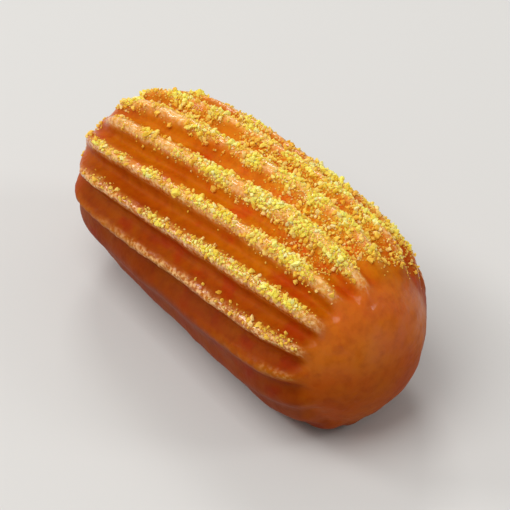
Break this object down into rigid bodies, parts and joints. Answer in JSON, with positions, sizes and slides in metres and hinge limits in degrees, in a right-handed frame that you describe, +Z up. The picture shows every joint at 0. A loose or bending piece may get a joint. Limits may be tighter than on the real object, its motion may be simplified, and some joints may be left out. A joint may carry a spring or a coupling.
{
  "type": "tulumba",
  "caption": "Ridged log of fried dough soaked in syrup, with rounded smooth ends and ground pistachio on top.",
  "frame": {"origin": "middle of the pressed underside, on the surface that the log rests on", "axes": "+Z up; +X along the log, towards its fuller end; +Y across it, towards the more heavily dusted side"},
  "size_m": [0.06, 0.0287, 0.0277],
  "materials": {
    "dough": "syrup-glazed amber fried dough",
    "pistachio": "matte bright yellow ground nut"
  },
  "bodies": {
    "root": {"tulumba": "dough"}
  },
  "joints": []
}
